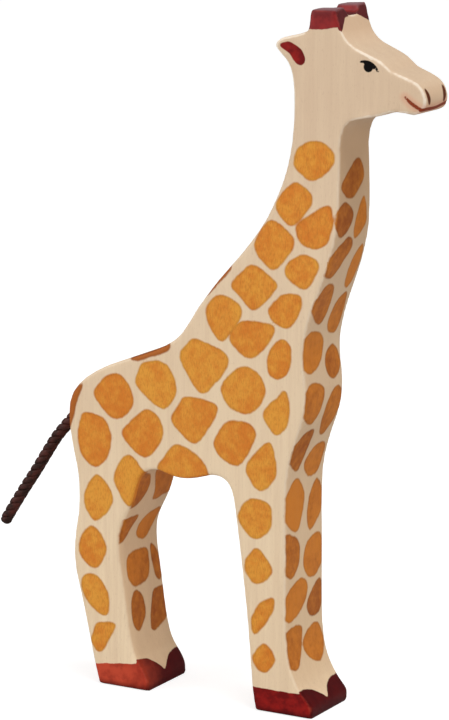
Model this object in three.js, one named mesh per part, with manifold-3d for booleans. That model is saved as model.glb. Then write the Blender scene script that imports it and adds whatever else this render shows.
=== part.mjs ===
// A painted wooden giraffe: one thick maple board, sawn to its side outline, thinned towards the head,
// with every edge sanded round, and a stiff twisted cord glued into a blind hole in the rump as its tail.
//
// Frame: millimetres, +X is the way the giraffe faces, +Y is its left side, +Z is up.
// The origin is on the ground, under the middle of the carved body.

import * as THREE from 'three';
import { TessellateModifier } from 'three/addons/modifiers/TessellateModifier.js';
import { mergeVertices } from 'three/addons/utils/BufferGeometryUtils.js';
import Module from 'manifold-3d';

const wasm = await Module();
wasm.setup();

// ---- Driving dimensions ----

const BOARD = 25.4;              // thickness of the board at the feet and the body
const EDGE = 0.9;                // radius that the edges are sanded to
const EDGE_STEPS = 2;
const CURVE_STEPS = 2;           // straight pieces between two outline points
const LONGEST_SIDE = 24;         // of a triangle, so that the wide sides follow the thinning
const TESSELLATE_PASSES = 12;

// The share of the board's thickness that is left falls from the shoulders to the top of the head, and
// once more from the brow to the nose.
const SHOULDER_Z = 128;
const CROWN_Z = 186;
const CROWN_SHARE = 0.8;
const BROW_X = 44;
const NOSE_X = 63;
const NOSE_SHARE = 0.78;

// The groove between the two horns, a flat-bottomed V along X.
const GROOVE_TOP_WIDTH = 8.6;
const GROOVE_FLOOR_WIDTH = 5.4;
const GROOVE_DEPTH = 2.4;
const GROOVE_LENGTH = 30;        // of the cutter, longer than the horns

// The horns were cut by hand: from right to left their top rises and their back edge moves forward.
const HORN_FOOT_Z = 216.5;
const HORN_RISE = 0.8;
const HORN_SKEW = 2.4;

// The tail. Its points run from the bottom of its hole to the free end.
const CORD_DIAMETER = 4;
const CORD_SIDES = 8;
const FIT_GAP = 0.3;             // left between the cord, the glue and the wood
const DRILL_DIAMETER = CORD_DIAMETER + 2 * FIT_GAP;
const DRILL_POINT = 1.3;         // length of the cone that the drill leaves
const DRILL_REACH = 16;          // of the drill's axis, out to where it is clear of the body
const ROUND_SIDES = 16;
const GLUE_THICKNESS = 1.6;
const GLUE_POINT_SHARE = 0.8;    // of the drill's cone, that the glue fills
const CORD_STEP = 2 * CORD_DIAMETER;
const TAIL_POINTS = [
  [-55.2, 91.7], [-58.8, 90.3], [-62.4, 88.9], [-65.5, 87.5], [-68.6, 85.0], [-71.6, 81.8],
  [-75.0, 77.8], [-78.8, 72.2], [-83.2, 65.5], [-88.0, 58.6], [-92.4, 52.0], [-96.2, 46.0],
];

// ---- Side outline of the carved body, [x, z] ----
// Each run is one smooth curve and the body has a corner where one run ends and the next begins.

const CHEST_AND_THROAT = [
  [27.2, 0], [27.4, 3.8], [24.8, 7.0], [22.4, 10.4], [20.3, 14.8], [19.0, 19.8], [18.4, 26],
  [18.2, 34], [18.1, 50], [17.9, 68], [18.7, 79], [21.1, 88], [24.2, 97], [25.1, 105], [24.3, 112.5],
  [24.0, 119], [25.8, 128], [29.0, 137], [32.2, 146], [34.4, 155], [35.1, 164], [35.1, 176],
  [35.2, 185], [37.6, 190.5], [43.2, 192.1], [48.2, 193.3], [53.2, 194.7], [58.6, 194.0],
];
const FACE = [
  [58.6, 194.0], [62.0, 195.4], [62.9, 199.3], [60.9, 203.2], [56.6, 205.5], [52.2, 207.1],
  [48.2, 210.1], [43.6, 212.2], [38.9, 214.3], [35.9, 217.4], [34.3, 221.4], [33.4, 225],
];
const HORN_TOP = [[33.4, 225], [24.4, 224.6]];
const HEAD_AND_NECK_BACK = [
  [23.5, 218.0], [19.5, 216.7], [14.2, 215.4], [12.0, 213.3], [13.5, 210.9], [16.4, 208],
  [18.0, 204], [18.6, 198], [18.5, 189], [17.6, 181], [15.6, 172.5], [12.2, 164], [8.0, 156.2],
  [1.0, 147.2], [-7.0, 138.3], [-14.2, 129], [-20.2, 120.1], [-26.7, 115.3], [-37.7, 110.8],
  [-48.8, 106.4], [-57.0, 101.4], [-61.6, 95.6], [-62.7, 88], [-61.2, 78.5], [-59.2, 69],
  [-59.1, 58.5], [-60.7, 48.5], [-60.7, 39], [-58.2, 28.5], [-55.6, 17], [-53.2, 6], [-51.6, 0],
];
const HIND_FOOT_FRONT = [
  [-33.0, 0], [-33.0, 3.8], [-35.0, 7.6], [-37.3, 11.4], [-39.0, 17], [-40.2, 24], [-41.7, 35],
  [-43.3, 45], [-43.0, 51.5], [-40.3, 57.6], [-38.0, 63.5], [-36.2, 69.6], [-33.8, 73.2],
  [-29.6, 74.5], [-25.6, 73.6], [-20.6, 72.7], [-14.4, 73.6], [-8.4, 75.3], [-3.9, 74.0],
  [-1.5, 70], [-0.2, 62], [1.4, 50], [2.9, 38], [4.1, 27], [5.1, 15.5], [5.9, 6], [7.0, 0],
];

// ---- Solids ----

function toManifold(geometry) {
  const bare = geometry.clone();
  bare.deleteAttribute('normal');
  bare.deleteAttribute('uv');
  const merged = mergeVertices(bare, 1e-4);
  return new wasm.Manifold(new wasm.Mesh({
    numProp: 3,
    vertProperties: new Float32Array(merged.attributes.position.array),
    triVerts: new Uint32Array(merged.index.array),
  }));
}

function toGeometry(manifold) {
  const mesh = manifold.getMesh();
  const geometry = new THREE.BufferGeometry();
  geometry.setAttribute('position', new THREE.BufferAttribute(mesh.vertProperties, 3));
  geometry.setIndex(new THREE.BufferAttribute(mesh.triVerts, 1));
  geometry.computeVertexNormals();
  return geometry;
}

function vectors(points) {
  return points.map(([x, z]) => new THREE.Vector2(x, z));
}

function sideOutline() {
  const shape = new THREE.Shape();
  shape.moveTo(...CHEST_AND_THROAT[0]);
  shape.splineThru(vectors(CHEST_AND_THROAT.slice(1)));
  shape.splineThru(vectors(FACE.slice(1)));
  shape.lineTo(...HORN_TOP[1]);
  shape.lineTo(...HEAD_AND_NECK_BACK[0]);
  shape.splineThru(vectors(HEAD_AND_NECK_BACK.slice(1)));
  shape.lineTo(...HIND_FOOT_FRONT[0]);
  shape.splineThru(vectors(HIND_FOOT_FRONT.slice(1)));
  return shape;
}

// The share of the board's thickness that is left at a point of the side outline.
function thicknessShare(x, z) {
  const neck = THREE.MathUtils.smoothstep(z, SHOULDER_Z, CROWN_Z);
  const nose = THREE.MathUtils.clamp((x - BROW_X) / (NOSE_X - BROW_X), 0, 1);
  return (1 - (1 - CROWN_SHARE) * neck) * (1 - (1 - NOSE_SHARE) * nose);
}

// The board, sawn to the outline, standing upright, with its edges rounded and its head thinned.
function sawnBoard() {
  const depth = BOARD - 2 * EDGE;
  const coarse = new THREE.ExtrudeGeometry(sideOutline(), {
    depth,
    curveSegments: CURVE_STEPS,
    bevelThickness: EDGE,
    bevelSize: EDGE,
    bevelOffset: -EDGE,
    bevelSegments: EDGE_STEPS,
  });
  const geometry = new TessellateModifier(LONGEST_SIDE, TESSELLATE_PASSES).modify(coarse);
  geometry.translate(0, 0, -depth / 2);
  geometry.rotateX(Math.PI / 2);
  const position = geometry.attributes.position;
  for (let i = 0; i < position.count; i += 1) {
    const x = position.getX(i);
    const y = position.getY(i);
    const z = position.getZ(i);
    position.setXYZ(i, ...handCutHorn(x, y * thicknessShare(x, z), z));
  }
  return geometry;
}

// Moves a point of the horns to where the hand-held cut left it.
function handCutHorn(x, y, z) {
  const [frontX, topZ] = HORN_TOP[0];
  const backX = HORN_TOP[1][0];
  const up = THREE.MathUtils.smoothstep(z, HORN_FOOT_Z, topZ);
  const leftward = THREE.MathUtils.clamp(y / (BOARD * CROWN_SHARE) + 0.5, 0, 1);
  const backward = THREE.MathUtils.clamp((frontX - x) / (frontX - backX), 0, 1);
  return [x + HORN_SKEW * up * leftward * backward, y, z + HORN_RISE * up * leftward];
}

function hornGroove() {
  const over = 2 * HORN_RISE;
  const top = HORN_TOP[0][1] + over;
  const slope = (GROOVE_TOP_WIDTH - GROOVE_FLOOR_WIDTH) / 2 / GROOVE_DEPTH;
  const halfTop = GROOVE_TOP_WIDTH / 2 + over * slope;
  const halfFloor = GROOVE_FLOOR_WIDTH / 2;
  const floor = HORN_TOP[0][1] - GROOVE_DEPTH;
  const section = new THREE.Shape(vectors([
    [-halfTop, top], [-halfFloor, floor], [halfFloor, floor], [halfTop, top],
  ]));
  const geometry = new THREE.ExtrudeGeometry(section, { depth: GROOVE_LENGTH, bevelEnabled: false });
  geometry.rotateX(Math.PI / 2);
  geometry.rotateZ(Math.PI / 2);
  geometry.translate((HORN_TOP[0][0] + HORN_TOP[1][0] - GROOVE_LENGTH) / 2, 0, 0);
  return geometry;
}

// A round bar along the line from start to end, with a cone on its end.
function pointedBar(start, end, radius, pointLength) {
  const length = start.distanceTo(end);
  const profile = vectors([[0, 0], [radius, 0], [radius, length], [0, length + pointLength]]);
  const geometry = new THREE.LatheGeometry(profile, ROUND_SIDES);
  const direction = end.clone().sub(start).normalize();
  const turn = new THREE.Quaternion().setFromUnitVectors(new THREE.Vector3(0, 1, 0), direction);
  geometry.applyQuaternion(turn);
  geometry.translate(start.x, start.y, start.z);
  return geometry;
}

// ---- The tail and its hole ----

const tailPoints = TAIL_POINTS.map(([x, z]) => new THREE.Vector3(x, 0, z));
const tailCurve = new THREE.CatmullRomCurve3(tailPoints);
const drillAxis = tailPoints[0].clone().sub(tailPoints[1]).normalize();
const drillStart = tailPoints[0].clone().addScaledVector(drillAxis, -DRILL_REACH);
const drillEnd = tailPoints[0].clone().addScaledVector(drillAxis, GLUE_THICKNESS + FIT_GAP);

function tailHole() {
  return pointedBar(drillStart, drillEnd, DRILL_DIAMETER / 2, DRILL_POINT);
}

function tailCord() {
  const corners = [];
  for (let i = 0; i < CORD_SIDES; i += 1) {
    const angle = (2 * Math.PI * i) / CORD_SIDES;
    corners.push([Math.cos(angle) * CORD_DIAMETER / 2, Math.sin(angle) * CORD_DIAMETER / 2]);
  }
  return new THREE.ExtrudeGeometry(new THREE.Shape(vectors(corners)), {
    steps: Math.round(tailCurve.getLength() / CORD_STEP),
    extrudePath: tailCurve,
    bevelEnabled: false,
  });
}

function tailGlue() {
  const start = tailPoints[0].clone().addScaledVector(drillAxis, FIT_GAP);
  const end = start.clone().addScaledVector(drillAxis, GLUE_THICKNESS - FIT_GAP);
  return pointedBar(start, end, DRILL_DIAMETER / 2 - FIT_GAP, DRILL_POINT * GLUE_POINT_SHARE);
}

function carvedBody() {
  const board = toManifold(sawnBoard());
  const cut = board.subtract(toManifold(hornGroove())).subtract(toManifold(tailHole()));
  return toGeometry(cut);
}

// ---- Materials and scene graph ----

const maple = new THREE.MeshStandardMaterial({ color: 0xe3c7a0, roughness: 0.62, metalness: 0 });
const cord = new THREE.MeshStandardMaterial({ color: 0x3a2420, roughness: 0.7, metalness: 0 });
const glue = new THREE.MeshStandardMaterial({ color: 0xd8c9a2, roughness: 0.4, metalness: 0 });

function named(name, geometry, material) {
  const mesh = new THREE.Mesh(geometry, material);
  mesh.name = name;
  return mesh;
}

const giraffe = new THREE.Group();
giraffe.add(named('carved_body', carvedBody(), maple));
giraffe.add(named('tail_cord', tailCord(), cord));
giraffe.add(named('tail_glue', tailGlue(), glue));

export default giraffe;
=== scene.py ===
"""A hand-painted wooden giraffe figure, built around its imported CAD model.

The board's own shape comes from the CAD node carved_body. This script gives it a fine, softly sanded
surface, paints it, and twists the tail's three strands. Everything is in metres in the row's frame:
+X is the way the giraffe faces, +Y is its left side and +Z is up. Outlines of painted areas are
written in millimetres, because they are easier to read that way.
"""

import math
import random

import bpy
import numpy as np
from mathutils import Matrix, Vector, noise


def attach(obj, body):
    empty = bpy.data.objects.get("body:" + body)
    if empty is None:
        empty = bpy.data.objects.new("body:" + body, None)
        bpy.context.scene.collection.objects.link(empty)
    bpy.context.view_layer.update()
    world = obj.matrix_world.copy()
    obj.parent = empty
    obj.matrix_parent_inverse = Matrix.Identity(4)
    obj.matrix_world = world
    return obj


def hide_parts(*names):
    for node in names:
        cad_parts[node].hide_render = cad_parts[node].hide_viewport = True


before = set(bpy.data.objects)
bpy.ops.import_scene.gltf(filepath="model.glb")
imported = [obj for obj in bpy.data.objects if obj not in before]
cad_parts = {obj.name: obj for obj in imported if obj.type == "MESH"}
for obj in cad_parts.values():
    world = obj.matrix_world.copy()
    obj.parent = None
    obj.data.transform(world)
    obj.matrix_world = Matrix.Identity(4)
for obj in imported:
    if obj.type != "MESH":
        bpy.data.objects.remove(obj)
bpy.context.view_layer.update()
MM = 0.001


# ---- Camera ----

AZIMUTH = math.radians(29.8)
ELEVATION = math.radians(11.7)
DISTANCE = 1.08
AIM = Vector((-0.0113, 0, 0.1102))
LENS = 169.5


def make_camera():
    data = bpy.data.cameras.new("camera")
    data.lens = LENS
    data.sensor_width = 36
    data.clip_start = 0.05
    data.clip_end = 20
    camera = bpy.data.objects.new("camera", data)
    level = math.cos(ELEVATION)
    back = Vector((math.sin(AZIMUTH) * level, -math.cos(AZIMUTH) * level, math.sin(ELEVATION)))
    camera.location = AIM + back * DISTANCE
    camera.rotation_euler = (-back).to_track_quat("-Z", "Y").to_euler()
    bpy.context.scene.collection.objects.link(camera)
    bpy.context.scene.camera = camera


# ---- Curves and distances ----

def catmull_rom(points, steps, closed=False):
    """Points on the smooth curve through the given points, steps to each span."""
    p = np.asarray(points, float)
    if closed:
        before, after, later = np.roll(p, 1, 0), np.roll(p, -1, 0), np.roll(p, -2, 0)
        spans = zip(before, p, after, later)
    else:
        ends = np.vstack([2 * p[0] - p[1], p, 2 * p[-1] - p[-2]])
        spans = zip(ends[:-3], ends[1:-2], ends[2:-1], ends[3:])
    curve = []
    for a, b, c, d in spans:
        for t in np.arange(steps) / steps:
            curve.append(0.5 * (2 * b + (c - a) * t + (2 * a - 5 * b + 4 * c - d) * t * t
                                + (3 * b - a - 3 * c + d) * t ** 3))
    if not closed:
        curve.append(p[-1])
    return np.array(curve)


def distance_to_chain(at, chain, closed):
    """Distance from each of the 2D points to a chain of straight pieces."""
    ends = np.roll(chain, -1, 0) if closed else chain[1:]
    starts = chain if closed else chain[:-1]
    best = np.full(len(at), np.inf)
    for a, b in zip(starts, ends):
        along = b - a
        share = np.clip((at - a) @ along / max(along @ along, 1e-12), 0, 1)
        best = np.minimum(best, np.linalg.norm(at - a - share[:, None] * along, axis=1))
    return best


def signed_distance(at, outline):
    """Distance to the closed outline, negative inside it."""
    inside = np.zeros(len(at), bool)
    x, y = at[:, 0], at[:, 1]
    for a, b in zip(outline, np.roll(outline, -1, 0)):
        crosses = (a[1] > y) != (b[1] > y)
        with np.errstate(divide="ignore", invalid="ignore"):
            edge_x = a[0] + (y - a[1]) * (b[0] - a[0]) / (b[1] - a[1])
        inside ^= crosses & (x < edge_x)
    return np.where(inside, -1, 1) * distance_to_chain(at, outline, True)


# ---- The tail: a three-strand twisted cord ----

TAIL_POINTS = [
    (-55.2, 91.7), (-58.8, 90.3), (-62.4, 88.9), (-65.5, 87.5), (-68.6, 85.0), (-71.6, 81.8),
    (-75.0, 77.8), (-78.8, 72.2), (-83.2, 65.5), (-88.0, 58.6), (-92.4, 52.0), (-96.2, 46.0),
]
CORD_DIAMETER = 4.0 * MM
STRANDS = 3
LAY_LENGTH = 9.0 * MM            # one full turn of a strand
STRAND_DEPTH = 0.95 * MM         # half of a strand's section, which is pressed flat
STRAND_WIDTH = 1.36 * MM
YARNS = 9                        # ridges round one strand
YARN_HEIGHT = 0.06               # of the strand's section
YARN_LAY = 4.2 * MM
END_LENGTH = 1.7 * MM            # over which the waxed ends close to a dome
DOME_TIP = 0.02                  # keeps the last rings from closing to a point
SLOW_SWELL = (0.03, 5.1 * MM)    # how much a strand's thickness varies, and over what length
QUICK_SWELL = (0.02, 1.7 * MM)
RING_STEP = 0.22 * MM
RING_SIDES = 28
ACROSS = np.array([0, 1, 0])     # the cord bends in the upright plane, so this is always square to it


def tail_route():
    points = [(x * MM, 0, z * MM) for x, z in TAIL_POINTS]
    return catmull_rom(points, 8)


def even_steps(route, step):
    """The route again, with points an equal distance apart, and the distance along it of each."""
    lengths = np.linalg.norm(np.diff(route, axis=0), axis=1)
    along = np.concatenate([[0], np.cumsum(lengths)])
    places = np.linspace(0, along[-1], int(along[-1] / step) + 1)
    return np.column_stack([np.interp(places, along, route[:, i]) for i in range(3)]), places


def strand_swell(place, phases):
    """How thick a strand is at a place along it, as a share of its usual thickness."""
    swell = 1
    for (share, wave), phase in zip((SLOW_SWELL, QUICK_SWELL), phases):
        swell += share * math.sin(place / wave + phase)
    return swell


def strand_ring(centre, upward, turn, place, from_end, swell):
    """The points round one section of a strand, which winds about the cord's middle line."""
    out = math.cos(turn) * ACROSS + math.sin(turn) * upward
    side = -math.sin(turn) * ACROSS + math.cos(turn) * upward
    dome = math.sqrt(max(1 - max(1 - from_end / END_LENGTH, 0) ** 2, DOME_TIP))
    depth = STRAND_DEPTH * swell * dome
    width = STRAND_WIDTH * swell * dome
    middle = centre + out * (CORD_DIAMETER / 2 * dome - depth)
    yarn_turn = 2 * math.pi * place / YARN_LAY
    ring = []
    for angle in np.linspace(0, 2 * math.pi, RING_SIDES, endpoint=False):
        ridge = 1 + YARN_HEIGHT * (abs(math.sin(YARNS / 2 * (angle + yarn_turn))) - 1)
        reach_out = out * depth * math.cos(angle)
        reach_side = side * width * math.sin(angle)
        ring.append(middle + (reach_out + reach_side) * ridge)
    return ring


def strand_faces(first, rings):
    """The faces between a strand's rings, whose points start at first, and a cap at each end."""
    faces = []
    for ring in range(rings - 1):
        for k in range(RING_SIDES):
            a = first + ring * RING_SIDES + k
            b = first + ring * RING_SIDES + (k + 1) % RING_SIDES
            faces.append((a, b, b + RING_SIDES, a + RING_SIDES))
    last = first + (rings - 1) * RING_SIDES
    faces.append(tuple(range(first + RING_SIDES - 1, first - 1, -1)))
    faces.append(tuple(range(last, last + RING_SIDES)))
    return faces


def make_tail():
    route, places = even_steps(tail_route(), RING_STEP)
    tangent = np.gradient(route, axis=0)
    tangent /= np.linalg.norm(tangent, axis=1)[:, None]
    upward = np.cross(tangent, ACROSS)
    vertices, faces = [], []
    random.seed(4)
    for strand in range(STRANDS):
        faces += strand_faces(len(vertices), len(route))
        start = 2 * math.pi * strand / STRANDS
        phases = [random.uniform(0, 6.28) for _ in range(2)]
        for centre, up, place in zip(route, upward, places):
            turn = start + 2 * math.pi * place / LAY_LENGTH
            from_end = min(places[-1] - place, place)
            vertices += strand_ring(centre, up, turn, place, from_end, strand_swell(place, phases))
    mesh = bpy.data.meshes.new("tail_twisted_cord")
    mesh.from_pydata([tuple(v) for v in vertices], [], faces)
    mesh.shade_smooth()
    tail = bpy.data.objects.new("tail_twisted_cord", mesh)
    bpy.context.scene.collection.objects.link(tail)
    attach(tail, "root")
    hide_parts("tail_cord")
    return tail


# ---- The carved body: an even fine skin over the CAD board, sanded soft ----

SKIN_STEP = 0.66 * MM
SAND_PASSES = 3
ROUND_PASSES = 45                # on the front edges of the hind legs, which are rounder than the others
ROUND_LOW = (-48, -14, 7)        # the box that they lie in, in millimetres
ROUND_HIGH = (-30, 14, 62)
ROUND_FADE = 6                   # over which the rounding fades in, from the box's ends
ROUND_FROM_Y = 7.5               # the flat middle of the face stays as it is
ROUND_FADE_Y = 2
WAVER = 0.16                     # how far hand sanding strays from the sawn face, in millimetres
WAVER_SIZE = 22
SOLE_HEIGHT = 1.2                # below this nothing is moved, so that the soles stay flat


def make_body():
    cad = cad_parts["carved_body"]
    rough = bpy.data.objects.new("rough_body", cad.data.copy())
    bpy.context.scene.collection.objects.link(rough)
    remesh = rough.modifiers.new("skin", "REMESH")
    remesh.mode = "VOXEL"
    remesh.voxel_size = SKIN_STEP
    remesh.adaptivity = 0
    sand = rough.modifiers.new("sand", "SMOOTH")
    sand.factor = 0.5
    sand.iterations = SAND_PASSES
    mesh = round_hind_edges(applied(rough))
    mesh.name = "giraffe_body"
    mesh.materials.clear()
    waver_surface(mesh)
    mesh.shade_smooth()
    body = bpy.data.objects.new("giraffe_body", mesh)
    bpy.context.scene.collection.objects.link(body)
    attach(body, "root")
    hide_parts("carved_body")
    return body


def applied(thing):
    """The mesh of an object with its modifiers applied. The object itself is removed."""
    evaluated = thing.evaluated_get(bpy.context.evaluated_depsgraph_get())
    mesh = bpy.data.meshes.new_from_object(evaluated)
    bpy.data.objects.remove(thing)
    return mesh


def round_hind_edges(mesh):
    """Sands the two front edges of the hind legs to a larger radius."""
    at = read_vertices(mesh)[0]
    low, high = np.array(ROUND_LOW), np.array(ROUND_HIGH)
    inside = np.clip(np.minimum(at - low, high - at) / ROUND_FADE, 0, 1)
    outward = np.clip((np.abs(at[:, 1]) - ROUND_FROM_Y) / ROUND_FADE_Y, 0, 1)
    share = inside[:, 0] * inside[:, 2] * outward
    edged = bpy.data.objects.new("edged_body", mesh)
    bpy.context.scene.collection.objects.link(edged)
    group = edged.vertex_groups.new(name="edges")
    for index in np.nonzero(share)[0]:
        group.add([int(index)], float(share[index]), "REPLACE")
    file = edged.modifiers.new("file", "SMOOTH")
    file.factor = 0.5
    file.iterations = ROUND_PASSES
    file.vertex_group = group.name
    return applied(edged)


def waver_surface(mesh):
    """Moves the skin inward by a slowly varying amount, as hand sanding leaves it."""
    at, normals = read_vertices(mesh)
    waves = np.array([noise.noise(Vector(place) / WAVER_SIZE) for place in at])
    depth = WAVER * (0.5 + 0.5 * waves)
    depth[at[:, 2] < SOLE_HEIGHT] = 0
    moved = (at - normals * depth[:, None]) * MM
    mesh.vertices.foreach_set("co", moved.ravel())
    mesh.update()


def read_vertices(mesh):
    """Places in millimetres, and normals, as arrays."""
    places = np.empty(len(mesh.vertices) * 3)
    normals = np.empty(len(mesh.vertices) * 3)
    mesh.vertices.foreach_get("co", places)
    mesh.vertices.foreach_get("normal", normals)
    return places.reshape(-1, 3) / MM, normals.reshape(-1, 3)


def write_attribute(mesh, name, values):
    layer = mesh.attributes.new(name, "FLOAT", "POINT")
    layer.data.foreach_set("value", np.asarray(values, np.float32))


# ---- Where the paint goes ----
# Spots on the two broad sides, as (x, z) outlines in millimetres on the right side.

SIDE_SPOTS = [
    [(22, 183), (28, 184.5), (33, 181), (32, 176), (26, 172), (20, 175), (19, 179)],
    [(19, 171), (23, 170), (26, 166.5), (24, 162), (19, 157.5), (14, 161), (13.5, 165)],
    [(32, 165), (33.5, 159), (31.5, 153), (27, 151), (22, 153), (20.6, 158), (26, 162)],
    [(12, 159), (19, 155), (20, 151), (17, 146.5), (12.5, 143.3), (7, 148), (6.5, 153)],
    [(23.5, 149), (28, 148), (29, 144.5), (25, 138.5), (20, 139.5), (17, 143), (19, 147)],
    [(6, 144.5), (12, 141.5), (14.6, 138.5), (11, 133.5), (6, 130), (1, 134), (-2, 137.5), (2, 142)],
    [(-6, 134), (1, 131.5), (2.2, 128), (-1, 123), (-5, 119), (-9, 122.5), (-11, 129)],
    [(18, 136.5), (23, 136), (23, 131.5), (19, 125.5), (13.5, 127), (11.3, 130.5), (14.5, 134.5)],
    [(2, 126.3), (12, 126.3), (14, 124), (11, 119), (5.5, 114.6), (0, 117), (-2.4, 121)],
    [(17, 122), (19.8, 119), (19, 112), (15.5, 109), (11.5, 110.5), (11.3, 116), (14, 120.5)],
    [(-14, 119), (-4, 115.6), (-3, 111), (-8, 104.5), (-12.5, 101.5), (-17, 106), (-20.5, 112.5),
     (-18, 117)],
    [(3, 112), (8, 110.3), (10.7, 105), (8.5, 99.5), (4, 96.5), (-2, 98), (-5.6, 103.5), (-2, 109)],
    [(17.6, 105.6), (19.3, 101), (18.5, 94.5), (14.5, 91), (10.5, 95), (10, 98.5), (14.5, 103)],
    [(-2, 94), (5, 93.7), (7.3, 90), (4, 83), (0, 79.4), (-6, 82), (-8, 86), (-5.5, 91)],
    [(-18, 100), (-9, 99.3), (-6.5, 96.5), (-11, 88.5), (-15, 85), (-20, 87.5), (-23.6, 92), (-21, 97)],
    [(-34, 109.3), (-29, 110.6), (-24, 108.5), (-21.5, 101.5), (-24.5, 96), (-28.5, 95.3),
     (-36.5, 101.5), (-36, 106)],
    [(-48, 103.5), (-43.5, 104.8), (-39.5, 102), (-37.5, 96), (-41, 91), (-46, 90), (-52.5, 96.5),
     (-51, 100.5)],
    [(-56, 90.7), (-49, 89.6), (-46, 84), (-47.5, 77), (-52, 72.8), (-57, 76), (-59, 82), (-58, 88)],
    [(-33, 94.3), (-28.5, 92.5), (-26.5, 87), (-29.5, 81), (-34, 78.3), (-40, 82), (-42, 86),
     (-38, 90.5)],
    [(-22, 84), (-15, 82), (-10.5, 77.5), (-10.5, 73), (-17, 70), (-24, 70), (-29, 75), (-26, 80)],
    [(-39.5, 78.7), (-35, 75), (-33.5, 72), (-36.5, 65), (-39.5, 61), (-43.5, 65.5), (-45.3, 70),
     (-43.5, 75)],
    [(-52, 70.6), (-47.5, 67.5), (-45.5, 62.5), (-49, 57), (-53, 55), (-56.5, 60), (-56, 65)],
    [(-53.8, 53.3), (-50, 50.5), (-48, 46), (-51, 40), (-55, 39.3), (-58.8, 44), (-57.5, 50)],
    [(-55.5, 37), (-51, 36), (-47.5, 31), (-48, 24), (-52.5, 24.5), (-57, 29.5), (-58, 34)],
    [(-51.5, 21), (-45, 21.3), (-47, 16), (-51, 10.7), (-54.2, 14), (-53.5, 18)],
    [(12.3, 88.6), (14.5, 83), (14.3, 77), (9, 72.3), (5, 75.5), (3.6, 80), (7.5, 85)],
    [(5, 69.3), (11.5, 69), (13.2, 65), (12, 59.5), (7, 56.5), (2.5, 59.5), (0.8, 64)],
    [(8, 53.8), (13.3, 47.5), (11, 43.5), (6.5, 42), (3, 47), (4.5, 51)],
    [(13.5, 38.3), (13.8, 34), (9.5, 27.3), (6.5, 25.2), (5.7, 30), (8.5, 35.5)],
    [(10.5, 22.8), (14.5, 18.3), (11.5, 13.6), (8, 14), (6.2, 18)],
]

# Darker slivers on the sides, where the spots of the back and nape run over the rounded edge.
RUNOVER_SPOTS = [
    [(-39, 110.5), (-32, 113.4), (-24.5, 116.5), (-24.5, 114.2), (-30.5, 111.4), (-36, 109.6)],
    [(-57.6, 100), (-63, 95), (-64, 88), (-62.5, 83), (-60.6, 88), (-59.2, 93.5), (-56.8, 98.8)],
    [(-2.6, 143.5), (-8, 138.4), (-11.5, 133.4), (-9.7, 133.6), (-5.8, 138), (-2, 142)],
]
RUNOVER_TONE = 2.0

# Spots on the narrow faces that look forward, as (y, z) outlines: the throat, chest and front legs ...
CHEST_SPOTS = [
    [(2, 178.5), (6, 174), (4, 169.5), (-3, 166), (-9, 170), (-6, 174)],
    [(-5.6, 165.5), (-0.5, 161.5), (-2.5, 157), (-8, 154.4), (-11.8, 159.5), (-10, 164)],
    [(6.5, 166), (8.8, 158.7), (6.6, 155), (2, 153), (0.6, 157), (3, 163)],
    [(-2.4, 154.2), (1.7, 151), (-2, 146), (-7, 141.7), (-12.5, 143.5), (-11, 149.5)],
    [(8.5, 150.4), (10.3, 147), (9.8, 139.5), (7, 136), (4, 139), (4, 146)],
    [(-5.3, 139.5), (-1.5, 136.5), (-1.2, 129.5), (-4.5, 126), (-10, 129), (-12.5, 133), (-9.5, 138.8)],
    [(8.6, 134.8), (10.5, 127), (8, 121.7), (3, 122.5), (1.2, 126), (3.5, 132.5)],
    [(-8, 124.5), (-1.3, 122.5), (0.6, 118.4), (-1.5, 113.5), (-8, 110.7), (-13, 113.5), (-14, 118.5),
     (-12, 123)],
    [(6.6, 118), (11, 114), (10.5, 109), (5.2, 107), (2, 110), (2, 115)],
    [(-6, 107.8), (-1, 105.5), (0, 102), (-2.8, 96), (-6.5, 94), (-12, 97.5), (-13, 103), (-11, 107)],
    [(9, 104.4), (12.5, 101), (11, 94.5), (6, 88.5), (2, 91), (1.5, 98), (4.5, 102.5)],
    [(-3.7, 92.3), (-1.5, 90), (-4, 81.5), (-7, 78.7), (-12, 82), (-14.2, 86), (-9, 91)],
    [(6.4, 86), (10.5, 83.5), (8.5, 76.5), (3.3, 74.9), (-1.5, 78), (-2, 81.5), (2, 85)],
    [(-5.3, 76.2), (-1, 72), (0, 68), (-3, 60), (-7, 59), (-12, 63), (-13.5, 68), (-9.5, 74.8)],
    [(7.6, 73.5), (12, 69), (11, 62), (4.5, 57.3), (2, 60.5), (3, 68)],
    [(-12.2, 59), (-5.5, 57), (-3, 53), (-4, 47.5), (-9, 44), (-13.5, 47.5), (-14.3, 54)],
    [(10.4, 55.3), (12.5, 47), (8, 42), (2, 42.5), (-1, 48), (2, 54)],
    [(-3, 43), (2, 40.5), (1, 35.5), (-5, 31), (-11, 30.3), (-13.7, 34.5), (-11, 40)],
    [(10.5, 40.3), (12.4, 34), (9.5, 29), (4, 29), (1.5, 33), (5, 37.5)],
    [(-8, 28.1), (-2, 26.8), (-3, 21), (-6.5, 15.5), (-11, 14.7), (-15, 20), (-14, 26)],
    [(8.5, 25.8), (11.5, 19), (6.5, 13.8), (0, 16.5), (-2.2, 21.5), (2, 25.3)],
]

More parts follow.
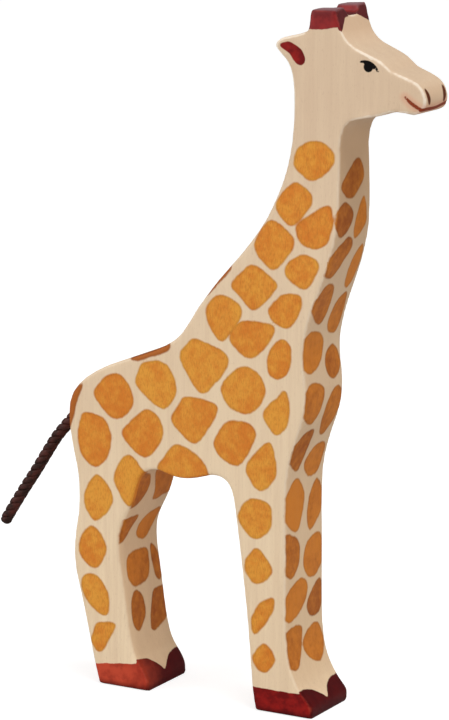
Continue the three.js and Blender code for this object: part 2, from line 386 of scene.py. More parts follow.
# ... and the front of the hind legs.
HIND_FRONT_SPOTS = [
    [(-6.6, 71.5), (-3.6, 68), (-5, 64), (-9, 61), (-14, 61), (-14, 72)],
    [(-3.6, 76), (12.5, 76), (12, 63), (8, 61), (1.4, 60.7), (0.6, 65)],
    [(-4.2, 56.5), (-7.5, 50.5), (-12, 48), (-14, 50), (-14, 56)],
    [(8, 56.5), (10.6, 55), (7, 49), (2.5, 46.6), (-2, 49.4), (1, 55)],
    [(-5.6, 44), (4, 43.5), (4.5, 38), (2, 33.5), (-6, 32.8), (-9.2, 36), (-9, 41.5)],
    [(7.1, 44.2), (10.7, 40.7), (12.4, 34), (9.5, 31.3), (7, 34), (6, 41)],
    [(-6.4, 31.6), (-2.3, 29), (-1.5, 23), (-6, 18.5), (-9.5, 20.5), (-9.6, 28)],
    [(6.6, 29.5), (12.5, 28.5), (12.2, 20), (5, 16.8), (0.3, 17.5), (3.5, 27.5)],
]

# Middles of the spot pairs on the narrow faces that look backward or down, as (x, z).
NAPE_AND_BACK = [
    (17.6, 179), (14, 166), (6, 152.5), (-7, 138.5), (-17, 123.5), (-31.7, 113.3), (-46, 107),
    (-61, 92), (-60.5, 77), (-59.2, 62.5), (-60.8, 46.5), (-59, 31.5), (-55.6, 17.5),
]
WRAPPED = {(-7, 138.5), (-31.7, 113.3), (-61, 92)}        # these run on over the rounded edge
FRONT_LEG_BACK = [(-0.3, 66), (1.9, 51.5), (3.6, 37), (5, 22.5)]
BELLY = [(-22, 73), (-8.5, 75)]
PAIR_HALF_LENGTH = 6.0           # of one spot, along the rim
PAIR_HALF_WIDTH = 3.9            # of one spot, across the board
PAIR_SQUARENESS = 2.3            # 2 is an ellipse, and more is squarer
WRAPPED_STRETCH = 1.35
WRAPPED_FROM_SIDE = 3            # from the broad side to the middle of a spot that runs over the edge

PAIR_ZONE_ALONG = 12             # how far from its middle a spot's distance is worked out
PAIR_ZONE_OFF_RIM = 6
PAIR_PAST_MIDDLE = 4             # and how far past the middle of the board

HAND_TURN = 9                    # how the left side's spots differ from the right side's: in degrees,
HAND_SCALE = (0.94, 1.05)        # as a share of their size,
HAND_SHIFT = 0.6                 # and in millimetres

CHEST_FROM_X = 10                # where the two groups of forward-looking spots are
HIND_UNTIL_X = -18
FORWARD_MIN_X = 0.25             # the normal of a face that looks forward has more x than this
RIM_MAX_X = 0.3                  # and the normal of a rim has less x, and less y either way
RIM_MAX_Y = 0.8

EDGE_ZONE = 2.6                  # how far the spots of the broad sides reach round the rounded edge
BARE_EDGE = 0.5                  # left bare along the edge by the spots of the narrow faces
MARGIN = 4                       # how far outside its outline a spot's distance is worked out
FAR = 20.0                       # the distance of a vertex that no spot is near
OUTLINE_STEPS = 5


class SpotMap:
    """For each vertex, the signed distance to the nearest spot, and that spot's own tone."""

    def __init__(self, at, normals, half):
        self.at = at
        self.normals = normals
        self.half = half
        self.depth = half - np.abs(at[:, 1])      # below the broad side's surface
        self.nearest = np.full(len(at), FAR)
        self.tone = np.full(len(at), 0.5)

    def near(self, shape, axes, where):
        """The rows of the marked vertices that are near a shape, seen along the third axis."""
        flat = self.at[:, axes]
        close = (flat > shape.min(0) - MARGIN) & (flat < shape.max(0) + MARGIN)
        return np.nonzero(where & close.all(axis=1))[0]

    def distance_to(self, shape, axes, rows):
        outline = catmull_rom(shape, OUTLINE_STEPS, closed=True)
        return signed_distance(self.at[rows][:, axes], outline)

    def add(self, distance, rows, tone):
        closer = distance < self.nearest[rows]
        chosen = rows[closer]
        self.nearest[chosen] = distance[closer]
        self.tone[chosen] = tone


def painted_again(shape, rng):
    """The same spot on the left side. It was painted by hand too, so it differs a little."""
    middle = shape.mean(0)
    angle = math.radians(rng.uniform(-HAND_TURN, HAND_TURN))
    cos, sin = math.cos(angle), math.sin(angle)
    turned = (shape - middle) @ np.array([[cos, -sin], [sin, cos]]) * rng.uniform(*HAND_SCALE)
    shift = [rng.uniform(-HAND_SHIFT, HAND_SHIFT) for _ in range(2)]
    return middle + turned + np.array(shift)


def add_side_spots(spots, rng):
    for side in (-1, 1):
        for outline in SIDE_SPOTS + RUNOVER_SPOTS:
            shape = np.array(outline, float)
            tone = RUNOVER_TONE if outline in RUNOVER_SPOTS else rng.random()
            if side > 0:
                shape = painted_again(shape, rng)
            rows = spots.near(shape, [0, 2], spots.at[:, 1] * side > 0)
            distance = spots.distance_to(shape, [0, 2], rows)
            spots.add(np.maximum(distance, spots.depth[rows] - EDGE_ZONE), rows, tone)


def add_front_spots(spots, rng):
    forward = spots.normals[:, 0] > FORWARD_MIN_X
    x = spots.at[:, 0]
    for outlines, zone in ((CHEST_SPOTS, x > CHEST_FROM_X), (HIND_FRONT_SPOTS, x < HIND_UNTIL_X)):
        for outline in outlines:
            shape = np.array(outline, float)
            rows = spots.near(shape, [1, 2], forward & zone)
            distance = spots.distance_to(shape, [1, 2], rows)
            spots.add(np.maximum(distance, BARE_EDGE - spots.depth[rows]), rows, rng.random())


def add_rim_spot(spots, rng, middle, tangent, side):
    """One spot of a pair on a narrow face. Its middle is on the rim, half way out to one side."""
    wrapped = tuple(middle) in WRAPPED
    shift = 0 if wrapped else rng.uniform(-2.2, 2.2)
    tilt = 0 if wrapped else rng.uniform(-0.35, 0.35)
    length = PAIR_HALF_LENGTH * (WRAPPED_STRETCH if wrapped else rng.uniform(0.85, 1.08))
    width = PAIR_HALF_WIDTH * rng.uniform(0.85, 1.1)
    tone = RUNOVER_TONE if wrapped else rng.random()
    from_side = WRAPPED_FROM_SIDE if wrapped else spots.half * 0.5

    offset = spots.at[:, [0, 2]] - middle
    along = offset @ tangent - shift
    off_rim = np.abs(offset @ np.array([-tangent[1], tangent[0]]))
    across = spots.at[:, 1] - side * (spots.half - from_side)
    near = (np.abs(along) < PAIR_ZONE_ALONG) & (off_rim < PAIR_ZONE_OFF_RIM)
    near &= spots.at[:, 1] * side > -PAIR_PAST_MIDDLE
    rim = (spots.normals[:, 0] < RIM_MAX_X) & (np.abs(spots.normals[:, 1]) < RIM_MAX_Y)
    rows = np.nonzero(near & rim)[0]

    a = (along[rows] + tilt * across[rows]) / length
    b = (across[rows] - tilt * along[rows] * 0.5) / width
    reach = (np.abs(a) ** PAIR_SQUARENESS + np.abs(b) ** PAIR_SQUARENESS) ** (1 / PAIR_SQUARENESS)
    distance = (reach - 1) * min(length, width)
    bare = 0 if wrapped else BARE_EDGE
    spots.add(np.maximum(distance, bare - spots.depth[rows]), rows, tone)


def add_rim_pairs(spots, rng):
    for chain in (NAPE_AND_BACK, FRONT_LEG_BACK, BELLY):
        middles = np.array(chain, float)
        tangents = np.gradient(middles, axis=0)
        tangents /= np.linalg.norm(tangents, axis=1)[:, None]
        for middle, tangent in zip(middles, tangents):
            for side in (-1, 1):
                add_rim_spot(spots, rng, middle, tangent, side)


def spot_layers(at, normals, half):
    rng = random.Random(11)
    spots = SpotMap(at, normals, half)
    add_side_spots(spots, rng)
    add_front_spots(spots, rng)
    add_rim_pairs(spots, rng)
    return spots.nearest, spots.tone


# Dark red: hooves, horns and inner ears.
HOOF_TOP = 7.9
HOOF_NOTCH = 4.4                 # where the two painted hooves of a foot meet
NOTCH_Y = -0.6
HOOF_LOBE = 8.7
LOBE_WIDTH = 10.0
HIND_HOOF_TOP = 6.9              # at the heel, HEEL_X, from where it rises forward
HIND_HOOF_SLOPE = 0.13
HEEL_X = -52.6
HIND_LOBE_RISE = 1.4             # of the right lobe of the hind foot
HORN_BASE = 218.7
HORN_BACK_X = 28.5               # in front of this the horns' lower edge rises a little
HORN_EDGE_RISE = 0.15            # for each millimetre forward
WINDOW_TOP = 222.7               # the floor of the groove between the horns
WINDOW_RIGHT = (5, 1.04)         # half width of the bare window there, and its growth per mm down
WINDOW_LEFT = (2.3, 2.6)
EAR = [(14, 213.4), (17.3, 214.3), (20.9, 212.7), (22.8, 209.6), (22, 207.6), (19.9, 207.8),
       (17.4, 210.6), (15.4, 211.8)]


def hoof_distance(at, normals):
    """Hooves: level on the sides and behind, two scallops in front."""
    x, y, z = at.T
    hind = x < -10
    across = np.clip(np.abs(y - NOTCH_Y) / LOBE_WIDTH, 0, 1)
    lobe = np.where(hind & (y < 0), HOOF_LOBE + HIND_LOBE_RISE, HOOF_LOBE)
    scallop = HOOF_NOTCH + (lobe - HOOF_NOTCH) * (1 - (1 - across) ** 2)
    level = np.where(hind, HIND_HOOF_TOP + HIND_HOOF_SLOPE * (x - HEEL_X), HOOF_TOP)
    front_share = np.clip((normals[:, 0] - 0.3) / 0.25, 0, 1)
    return z - level * (1 - front_share) - scallop * front_share


def horn_distance(at, normals):
    """Horns: almost level on the sides. In front the paint leaves bare wood between them."""
    x, y, z = at.T
    below = WINDOW_TOP - z
    right = y + WINDOW_RIGHT[0] + WINDOW_RIGHT[1] * below
    left = WINDOW_LEFT[0] + WINDOW_LEFT[1] * below - y
    window = np.minimum(right, left)
    front = (normals[:, 0] > 0.4) & (below > 0)
    base = HORN_BASE + HORN_EDGE_RISE * np.clip(x - HORN_BACK_X, 0, 8)
    return np.where(front, np.maximum(HORN_BASE - 0.5 - z, window), base - z)


def ear_distance(at, half):
    outline = catmull_rom(EAR, OUTLINE_STEPS, closed=True)
    ear = signed_distance(at[:, [0, 2]], outline)
    return np.maximum(ear, half - np.abs(at[:, 1]) - EDGE_ZONE)


def red_layer(at, normals, half):
    hooves_and_horns = np.minimum(hoof_distance(at, normals), horn_distance(at, normals))
    return np.minimum(hooves_and_horns, ear_distance(at, half))


# Where fingers have rubbed the red paint of the right hind hoof.
WORN_MIDDLE = (-46, -12.7, 4)
WORN_REACH = (20, 14, 11)

# The red is paler and greyer on the upward faces of the horns' tops, and a little on the horns' sides.
HORN_FROM_Z = 216
HORN_TOP_FROM_Z = 223.6
HORN_SIDE_PALE = 0.1

# Eye, mouth and nostrils.
EYE_MIDDLE = (44.4, 208.1)
EYE_RADIUS = 1.6
LID = [(41.8, 209.6), (43.2, 209.7), (45, 209.3), (46.6, 208.2), (47.6, 206.8)]
LID_WIDTH = 0.56
MOUTH_SIDE = [(56.3, 200.1), (58.2, 198.4), (60.4, 197), (62.8, 195.9)]
MOUTH_WIDTH = 0.6
MOUTH_FRONT_Z = 196.1
MOUTH_TILT = 0.06                # it sits this much higher toward the left side
MOUTH_FRONT_FROM_X = 60.5
MOUTH_ROUND = 2                  # how far its side part runs on round the muzzle's edge
NOSTRIL = [(-5.8, 201.6), (-5.4, 199.7), (-4.9, 197.8)]      # (y, z), mirrored for the left one
NOSTRIL_WIDTH = 1.05
NOSTRIL_FROM_X = 57
NOWHERE = 9.0                    # a distance at which no paint is laid


def stroke(at, points, width):
    """Signed distance to a brush stroke that narrows at both ends."""
    chain = catmull_rom(points, 6)
    best = np.full(len(at), NOWHERE)
    for i in range(len(chain) - 1):
        share = (i + 0.5) / (len(chain) - 1)
        taper = width * (0.6 + 0.4 * math.sin(math.pi * share))
        best = np.minimum(best, distance_to_chain(at, chain[i:i + 2], False) - taper)
    return best


def eye_layer(at):
    flat = at[:, [0, 2]]
    ball = np.linalg.norm(flat - np.array(EYE_MIDDLE), axis=1) - EYE_RADIUS
    return np.minimum(ball, stroke(flat, LID, LID_WIDTH))


def mouth_layer(at, normals, half):
    y = at[:, 1]
    level = at[:, 2] - MOUTH_TILT * y
    side = stroke(np.column_stack([at[:, 0], level]), MOUTH_SIDE, MOUTH_WIDTH)
    side = np.maximum(side, half - np.abs(y) - MOUTH_ROUND)
    front = np.abs(level - MOUTH_FRONT_Z + 0.25 * np.cos(y / 2.2)) - MOUTH_WIDTH
    front = np.where(at[:, 0] > MOUTH_FRONT_FROM_X, front, NOWHERE)
    mirrored = np.column_stack([-np.abs(y), at[:, 2]])
    nostril = stroke(mirrored, NOSTRIL, NOSTRIL_WIDTH)
    muzzle = (at[:, 0] > NOSTRIL_FROM_X) & (normals[:, 0] > 0.2)
    nostril = np.where(muzzle, nostril, NOWHERE)
    return np.minimum(side, front), nostril


def edge_layer(mesh, at, normals):
    """How sharply the skin bends at each vertex, in radians per millimetre. Ridges are above 0."""
    edges = np.empty(len(mesh.edges) * 2, int)
    mesh.edges.foreach_get("vertices", edges)
    a, b = edges.reshape(-1, 2).T
    gap = at[b] - at[a]
    length = np.linalg.norm(gap, axis=1)
    bend = np.einsum("ij,ij->i", normals[b] - normals[a], gap) / np.maximum(length, 1e-6) ** 2
    total = np.zeros(len(at))
    count = np.zeros(len(at))
    for ends in (a, b):
        np.add.at(total, ends, bend)
        np.add.at(count, ends, 1)
    curvature = total / np.maximum(count, 1)
    around = np.zeros(len(at))
    np.add.at(around, a, curvature[b])
    np.add.at(around, b, curvature[a])
    return 0.5 * curvature + 0.5 * around / np.maximum(count, 1)


THICKNESS_CELL = 4.0             # the squares of the side view in which the widest place is looked for


def half_thickness(at):
    """Half the board's thickness at each vertex: the widest that the skin gets near that place."""
    keys = np.floor(at[:, [0, 2]] / THICKNESS_CELL).astype(int)
    keys -= keys.min(0)
    grid = np.zeros(keys.max(0) + 3)
    np.maximum.at(grid, (keys[:, 0] + 1, keys[:, 1] + 1), np.abs(at[:, 1]))
    around = [grid[1 + dx:grid.shape[0] - 1 + dx, 1 + dz:grid.shape[1] - 1 + dz]
              for dx in (-1, 0, 1) for dz in (-1, 0, 1)]
    widest = np.maximum.reduce(around)
    return widest[keys[:, 0], keys[:, 1]]


def paint_layers(body):
    mesh = body.data
    at, normals = read_vertices(mesh)
    half = half_thickness(at)
    nearest, tone = spot_layers(at, normals, half)
    mouth, nostril = mouth_layer(at, normals, half)
    write_attribute(mesh, "spot", nearest)
    write_attribute(mesh, "spot_tone", tone)
    write_attribute(mesh, "red", red_layer(at, normals, half))
    write_attribute(mesh, "eye", eye_layer(at))
    write_attribute(mesh, "mouth", mouth)
    write_attribute(mesh, "nostril", nostril)
    write_attribute(mesh, "ridge", edge_layer(mesh, at, normals))
    # Where the red is paler: the horns' upward faces, and a little their sides.
    top_pale = np.clip(normals[:, 2] * 2 - 0.9, 0, 1) * (at[:, 2] > HORN_TOP_FROM_Z)
    write_attribute(mesh, "horn_pale", np.maximum(top_pale, HORN_SIDE_PALE * (at[:, 2] > HORN_FROM_Z)))
    worn = np.linalg.norm((at - np.array(WORN_MIDDLE)) / np.array(WORN_REACH), axis=1)
    write_attribute(mesh, "worn", np.clip(1.5 - 1.5 * worn, 0, 1))
    write_attribute(mesh, "narrow_face", 1 - np.abs(normals[:, 1]))
    write_attribute(mesh, "up_face", np.clip(normals[:, 2] * 2 - 0.85, 0, 1))


# ---- Material helpers ----

class Nodes:
    """A short way to add and join shader nodes."""

    def __init__(self, name):
        self.material = bpy.data.materials.new(name)
        self.material.use_nodes = True
        self.tree = self.material.node_tree
        self.shader = self.tree.nodes["Principled BSDF"]

    def node(self, kind, inputs=None, **settings):
        made = self.tree.nodes.new(kind)
        for key, value in settings.items():
            setattr(made, key, value)
        for key, value in (inputs or {}).items():
            self.put(value, made.inputs[key])
        return made

    def put(self, value, socket):
        if isinstance(value, bpy.types.NodeSocket):
            self.tree.links.new(value, socket)
        else:
            socket.default_value = value

    def math(self, operation, a, b=0.0, c=0.0, clamp=False):
        made = self.node("ShaderNodeMath", {0: a, 1: b, 2: c}, operation=operation)
        made.use_clamp = clamp
        return made.outputs[0]

    def attribute(self, name):
        return self.node("ShaderNodeAttribute", attribute_name=name).outputs["Fac"]

    def noise(self, vector, scale, detail=3.0, rough=0.5):
        made = self.node("ShaderNodeTexNoise", {"Vector": vector, "Scale": scale, "Detail": detail,
                                                "Roughness": rough})
        return made.outputs["Fac"]

    def stretched(self, scale):
        """Object coordinates, scaled by a different number along each axis."""
        place = self.node("ShaderNodeTexCoord").outputs["Object"]
        return self.node("ShaderNodeMapping", {"Vector": place, "Scale": scale}).outputs[0]

    def ramp(self, value, low, high, from_=0.0, to=1.0, smooth=True):
        made = self.node("ShaderNodeMapRange", {"Value": value, "From Min": low, "From Max": high,
                                                "To Min": from_, "To Max": to})
        made.interpolation_type = "SMOOTHSTEP" if smooth else "LINEAR"
        return made.outputs[0]

    def mix(self, share, a, b, mode="MIX"):
        made = self.node("ShaderNodeMix", data_type="RGBA", blend_type=mode)
        self.put(share, made.inputs["Factor"])
        self.put(a, made.inputs[6])
        self.put(b, made.inputs[7])
        return made.outputs[2]


def colour(red, green, blue):
    """An 8-bit screen colour as the linear one that shaders take."""
    def linear(value):
        share = value / 255
        return share / 12.92 if share <= 0.04045 else ((share + 0.055) / 1.055) ** 2.4
    return (linear(red), linear(green), linear(blue), 1.0)


# ---- Painted maple ----

WOOD_LIGHT = colour(250, 225, 189)
WOOD_DARK = colour(238, 210, 175)
WOOD_HIGHER_UP = colour(204, 172, 148)    # mixed in more the higher up the wood is, most on the head and neck
WOOD_PORE = colour(204, 172, 138)
# Painted highlight on the ridges, over edges sanded a little paler:
WOOD_RIDGE_HIGHLIGHT = colour(255, 240, 220)
WOOD_EDGE_SHADE = colour(224, 188, 148)     # painted shade on the board's narrow faces that don't look up. The edges also drink more stain
WOOD_THROAT_SHADE = colour(198, 158, 110)      # painted shade on the throat, under the jaw
SPOT_LIGHT = colour(234, 160, 54)
SPOT_DARK = colour(220, 124, 30)
SPOT_PORE = colour(182, 98, 22)
SPOT_RIM = colour(214, 218, 196)        # darkens the stain under it
SPOT_NARROW = colour(214, 124, 38)
SPOT_SOAKED = colour(144, 68, 16)
RED_BRIGHT = colour(154, 26, 22)
RED_DARK = colour(112, 10, 12)
# Painted shade on the red's narrow faces, and a painted shadow along the hooves' bottom edge:
RED_SHADE = colour(68, 5, 7)
RED_WORN = colour(204, 78, 52)
RED_TOP = colour(150, 108, 112)         # paler, greyer red for the upward faces of the horns' tops
BLUSH = colour(222, 138, 104)           # round the mouth
MOUTH_PAINT = colour(142, 60, 34)
NOSTRIL_PAINT = colour(96, 42, 14)
EYE_PAINT = colour(4, 2, 1)


class Skin(Nodes):
    """The body's material, with the noises and attributes that several of its layers share."""

    def __init__(self, name):
        super().__init__(name)
        self.long_grain = self.stretched((1, 1, 0.05))
        self.place = self.stretched((1, 1, 1))
        self.height = self.node("ShaderNodeSeparateXYZ", {0: self.place}).outputs["Z"]
        self.narrow = self.ramp(self.attribute("narrow_face"), 0.15, 0.6)
        self.ridge = self.ramp(self.attribute("ridge"), 0.24, 0.46)
        self.lines = self.noise(self.long_grain, 1300, 3, 0.55)
        self.pores = self.noise(self.stretched((1, 1, 0.3)), 2300, 2, 0.6)
        self.creep = self.noise(self.stretched((1, 1, 0.4)), 900, 3, 0.55)
        self.wobble = self.noise(self.place, 240, 1, 0.5)
        self.blotch = self.noise(self.place, 420, 3, 0.6)
        self.patches = self.noise(self.place, 230, 4, 0.6)

    def uneven(self, distance, wobble, creep):
        """A painted edge that wanders, and that has crept a little along the grain."""
        for layer, share in ((self.creep, creep), (self.wobble, wobble)):
            distance = self.math("MULTIPLY_ADD", self.math("SUBTRACT", layer, 0.5), share, distance)
        return distance


def wood_grain(m):
    """0 to 1: fine lines up the board, broader bands and a slow change of tone."""
    bands = m.noise(m.long_grain, 300, 2, 0.5)
    cloud = m.noise(m.stretched((1, 1, 0.3)), 40, 2, 0.5)
    grain = m.math("MULTIPLY_ADD", m.lines, 0.3, m.math("MULTIPLY", bands, 0.3))
    grain = m.math("MULTIPLY_ADD", cloud, 0.4, grain)
    return m.ramp(grain, 0.36, 0.66)


def bare_wood(m, grain):
    wood = m.mix(grain, WOOD_LIGHT, WOOD_DARK)
    # Painted shade: the board's narrow faces that don't look up are darker.
    shaded_wall = m.math("MULTIPLY", m.narrow, m.math("SUBTRACT", 1.0, m.attribute("up_face")))
    wood = m.mix(m.math("MULTIPLY", shaded_wall, 0.65), wood, WOOD_EDGE_SHADE)
    wood = m.mix(m.ramp(m.pores, 0.56, 0.76, 0, 0.3), wood, WOOD_PORE)
    # Painted shade on the throat under the jaw, on its faces that don't look up.
    above_chest = m.ramp(m.height, 0.13, 0.18, 0, 0.7)
    below_jaw = m.ramp(m.height, 0.195, 0.187)
    throat = m.math("MULTIPLY", above_chest, below_jaw)
    wood = m.mix(m.math("MULTIPLY", throat, shaded_wall), wood, WOOD_THROAT_SHADE)
    # The wood gets darker the higher up it is.
    wood = m.mix(m.ramp(m.height, 0.03, 0.2, 0, 0.42, smooth=False), wood, WOOD_HIGHER_UP)
    # Painted highlight along the ridges, strongest on the head, over edges sanded a little paler.
    ridge_highlight = m.ramp(m.height, 0.186, 0.2, 0.2, 0.75)
    return m.mix(m.math("MULTIPLY", m.ridge, ridge_highlight), wood, WOOD_RIDGE_HIGHLIGHT)


def add_spot_stain(m, surface):
    """Its strength varies from spot to spot and in blotches within a spot, and it pools at the rim."""
    spot = m.uneven(m.attribute("spot"), 0.8, 0.45)
    tone = m.attribute("spot_tone")
    wash = m.noise(m.stretched((1, 1, 0.6)), 130, 2, 0.5)
    depth = m.math("MULTIPLY_ADD", tone, 0.2, m.math("MULTIPLY", wash, 0.5))
    depth = m.math("MULTIPLY_ADD", m.blotch, 0.75, depth)
    stain = m.mix(m.ramp(depth, 0.5, 0.98), SPOT_LIGHT, SPOT_DARK)
    stain = m.mix(m.ramp(m.pores, 0.42, 0.72, 0, 0.38), stain, SPOT_PORE)
    # On the narrow faces the spots get darker higher up, between 145 and 178 mm.
    soak = m.math("ADD", depth, m.ramp(m.height, 0.145, 0.178, -0.2, 0.08))
    soak = m.math("MULTIPLY_ADD", tone, 0.32, soak)
    end_stain = m.mix(m.ramp(soak, 0.38, 1.25), SPOT_NARROW, SPOT_SOAKED)
    stain = m.mix(m.math("MULTIPLY", m.narrow, 0.85), stain, end_stain)
    stain = m.mix(m.ramp(tone, 1.2, RUNOVER_TONE, 0, 0.6), stain, SPOT_SOAKED)
    stain = m.mix(m.ramp(spot, -1.1, -0.05, 0, 0.6), stain, SPOT_RIM, "MULTIPLY")
    cover = m.ramp(spot, 0.36, -0.38)
    return m.mix(m.math("MULTIPLY", cover, 0.97), surface, stain)


def add_red_paint(m, surface):
    """It is thicker than stain, and rubs through on the ridges and where the toy is picked up."""
    cover = m.ramp(m.uneven(m.attribute("red"), 0.7, 0.3), 0.18, -0.18)
    paint = m.mix(m.ramp(m.patches, 0.36, 0.66), RED_DARK, RED_BRIGHT)
    # Painted shade: the red is darker on the narrow faces.
    paint = m.mix(m.math("MULTIPLY", m.narrow, 0.85), paint, RED_SHADE)
    rubbed = m.math("MULTIPLY", m.ridge, m.ramp(m.blotch, 0.45, 0.65))
    worn = m.math("MULTIPLY", m.attribute("worn"), m.ramp(m.patches, 0.3, 0.6, 0.55, 0.95))
    paint = m.mix(m.math("MULTIPLY_ADD", rubbed, 0.22, worn, clamp=True), paint, RED_WORN)
    # Painted shadow along the bottom of the hooves, where they stand on the floor.
    paint = m.mix(m.ramp(m.height, 0.0026, 0.0004, 0, 0.7), paint, RED_SHADE)
    # The red is paler on the horns' upward faces, and a little on their sides.
    pale_patches = m.ramp(m.patches, 0.3, 0.6, 0.7, 1.0)
    paint = m.mix(m.math("MULTIPLY", m.attribute("horn_pale"), pale_patches), paint, RED_TOP)
    return cover, m.mix(cover, surface, paint)


def add_face_strokes(m, surface):
    """Eye, mouth and nostrils, drawn with a fine brush. Also gives where the glossy ones are."""
    mouth = m.attribute("mouth")
    nostril = m.ramp(m.attribute("nostril"), 0.2, -0.3)
    eye = m.ramp(m.attribute("eye"), 0.12, -0.14)
    surface = m.mix(m.ramp(mouth, 2.0, 0.1, 0, 0.35), surface, BLUSH)
    surface = m.mix(m.ramp(mouth, 0.16, -0.2), surface, MOUTH_PAINT)
    surface = m.mix(nostril, surface, NOSTRIL_PAINT)
    surface = m.mix(eye, surface, EYE_PAINT)
    return m.math("MAXIMUM", eye, nostril), surface


def painted_maple():
    m = Skin("painted_maple")
    grain = wood_grain(m)
    surface = add_spot_stain(m, bare_wood(m, grain))
    red_cover, surface = add_red_paint(m, surface)
    glossy, surface = add_face_strokes(m, surface)
    m.put(surface, m.shader.inputs["Base Color"])

    # Oiled wood is satin, and the paint is a little glossier.
    rough = m.ramp(grain, 0, 1, 0.5, 0.6)
    rough = m.math("MULTIPLY_ADD", red_cover, -0.14, rough)
    rough = m.math("MULTIPLY_ADD", glossy, -0.2, rough)
    rough = m.math("MULTIPLY_ADD", m.math("SUBTRACT", m.patches, 0.5), 0.12, rough)
    m.put(rough, m.shader.inputs["Roughness"])
    m.shader.inputs["Specular IOR Level"].default_value = 0.12

    # Lines and pores are sunk, and the red paint fills them.
    relief = m.math("MULTIPLY_ADD", m.lines, -0.4, m.math("MULTIPLY", m.pores, -0.4))
    height = m.math("MULTIPLY", m.math("SUBTRACT", 1.0, red_cover), relief)
    height = m.math("MULTIPLY_ADD", red_cover, 0.3, height)
    bump = m.node("ShaderNodeBump", {"Height": height, "Strength": 0.32, "Distance": 0.00012})
    m.put(bump.outputs[0], m.shader.inputs["Normal"])
    return m.material


# ---- Waxed cord and glue ----

CORD_DARK = colour(42, 20, 11)
CORD_LIGHT = colour(82, 36, 28)
CORD_FIBRE = colour(118, 70, 50)
GLUE_PALE = colour(214, 196, 150)
GLUE_AMBER = colour(176, 148, 98)


def waxed_cord():
    m = Nodes("waxed_cord")
    place = m.stretched((1, 1, 1))
    dye = m.noise(place, 380, 3, 0.6)
    fibre = m.noise(place, 5200, 3, 0.6)
    base = m.mix(m.ramp(dye, 0.35, 0.68), CORD_DARK, CORD_LIGHT)
    base = m.mix(m.ramp(fibre, 0.55, 0.8, 0, 0.45), base, CORD_FIBRE)
    m.put(base, m.shader.inputs["Base Color"])
    m.put(m.ramp(dye, 0.3, 0.7, 0.66, 0.5), m.shader.inputs["Roughness"])
    m.shader.inputs["Specular IOR Level"].default_value = 0.25
    bump = m.node("ShaderNodeBump", {"Height": fibre, "Strength": 0.5, "Distance": 0.0001})
    m.put(bump.outputs[0], m.shader.inputs["Normal"])
    return m.material


def dried_glue():
    m = Nodes("dried_glue")
    place = m.stretched((1, 1, 1))
    cloud = m.noise(place, 900, 2, 0.5)
    m.put(m.mix(cloud, GLUE_PALE, GLUE_AMBER), m.shader.inputs["Base Color"])
    m.put(m.ramp(cloud, 0.3, 0.7, 0.25, 0.4), m.shader.inputs["Roughness"])
    bump = m.node("ShaderNodeBump", {"Height": cloud, "Strength": 0.3, "Distance": 0.0002})
    m.put(bump.outputs[0], m.shader.inputs["Normal"])
    return m.material


# ---- Floor, backdrop and light ----

FLOOR_REACH = 2.2                # from the giraffe to the backdrop
FLOOR_HALF_WIDTH = 2.5
BACKDROP_HEIGHT = 2.0
BEND = 0.8                       # radius between the floor and the backdrop
BEND_STEPS = 16
PAPER_GREY = 0.52
PAPER_GLOW = 0.75                # only the camera sees it, so that the paper looks overexposed


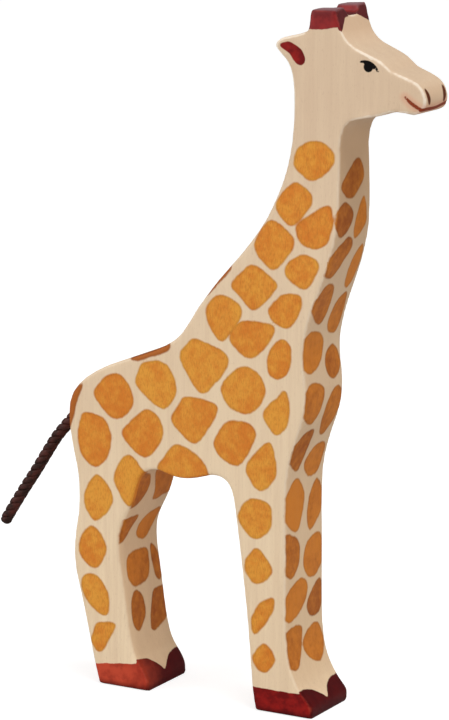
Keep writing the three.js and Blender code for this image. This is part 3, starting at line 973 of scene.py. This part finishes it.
def make_stage():
    """A pale floor that curves up into the backdrop."""
    profile = [(-FLOOR_REACH, 0.0)]
    for i in range(BEND_STEPS + 1):
        angle = math.pi / 2 * i / BEND_STEPS
        profile.append((FLOOR_REACH - BEND + BEND * math.sin(angle), BEND - BEND * math.cos(angle)))
    profile.append((FLOOR_REACH, BACKDROP_HEIGHT))
    vertices, faces = [], []
    for distance, z in profile:
        for side in (-FLOOR_HALF_WIDTH, FLOOR_HALF_WIDTH):
            vertices.append((side, distance, z))
    for i in range(len(profile) - 1):
        a = 2 * i
        faces.append((a, a + 1, a + 3, a + 2))
    mesh = bpy.data.meshes.new("studio_floor")
    mesh.from_pydata(vertices, [], faces)
    mesh.shade_smooth()
    floor = bpy.data.objects.new("studio_floor", mesh)
    floor.rotation_euler.z = AZIMUTH
    paper = Nodes("pale_paper")
    paper.shader.inputs["Base Color"].default_value = (PAPER_GREY, PAPER_GREY, PAPER_GREY, 1)
    paper.shader.inputs["Roughness"].default_value = 1.0
    paper.shader.inputs["Specular IOR Level"].default_value = 0.0
    paper.shader.inputs["Emission Color"].default_value = (1, 1, 1, 1)
    seen = paper.node("ShaderNodeLightPath").outputs["Is Camera Ray"]
    paper.put(paper.math("MULTIPLY", seen, PAPER_GLOW), paper.shader.inputs["Emission Strength"])
    mesh.materials.append(paper.material)
    bpy.context.scene.collection.objects.link(floor)


def add_light(name, azimuth, elevation, distance, size, watts):
    """A square soft light that faces the giraffe's middle."""
    data = bpy.data.lights.new(name, "AREA")
    data.size = size
    data.energy = watts
    light = bpy.data.objects.new(name, data)
    a, e = math.radians(azimuth), math.radians(elevation)
    back = Vector((math.sin(a) * math.cos(e), -math.cos(a) * math.cos(e), math.sin(e)))
    light.location = Vector((0, 0, 0.11)) + back * distance
    light.rotation_euler = (-back).to_track_quat("-Z", "Y").to_euler()
    bpy.context.scene.collection.objects.link(light)


# Name, azimuth and elevation in degrees, distance and size in metres, watts. Azimuth 0 faces the right
# side of the giraffe, and 90 its nose.
LIGHTS = [
    ("key", -48, 16, 1.6, 0.9, 11.5),
    ("fill", 56, 8, 2.0, 1.2, 14.5),
    ("top", 85, 70, 1.8, 1.1, 16),
]
WORLD_STRENGTH = 0.29            # of the light from all round. The camera sees it as plain white


def make_light():
    for light in LIGHTS:
        add_light(*light)
    world = bpy.data.worlds.new("studio")
    world.use_nodes = True
    nodes, links = world.node_tree.nodes, world.node_tree.links
    background = nodes["Background"]
    background.inputs["Color"].default_value = (1, 1, 1, 1)
    seen = nodes.new("ShaderNodeLightPath").outputs["Is Camera Ray"]
    strength = nodes.new("ShaderNodeMath")
    strength.operation = "MULTIPLY_ADD"
    strength.inputs[1].default_value = 1.0 - WORLD_STRENGTH
    strength.inputs[2].default_value = WORLD_STRENGTH
    links.new(seen, strength.inputs[0])
    links.new(strength.outputs[0], background.inputs["Strength"])
    bpy.context.scene.world = world


# ---- Put together ----

make_camera()
tail = make_tail()
body = make_body()
paint_layers(body)
body.data.materials.append(painted_maple())
tail.data.materials.append(waxed_cord())
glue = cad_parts["tail_glue"]
glue.material_slots[0].material = dried_glue()
make_stage()
make_light()
bpy.context.scene.view_settings.view_transform = "Standard"
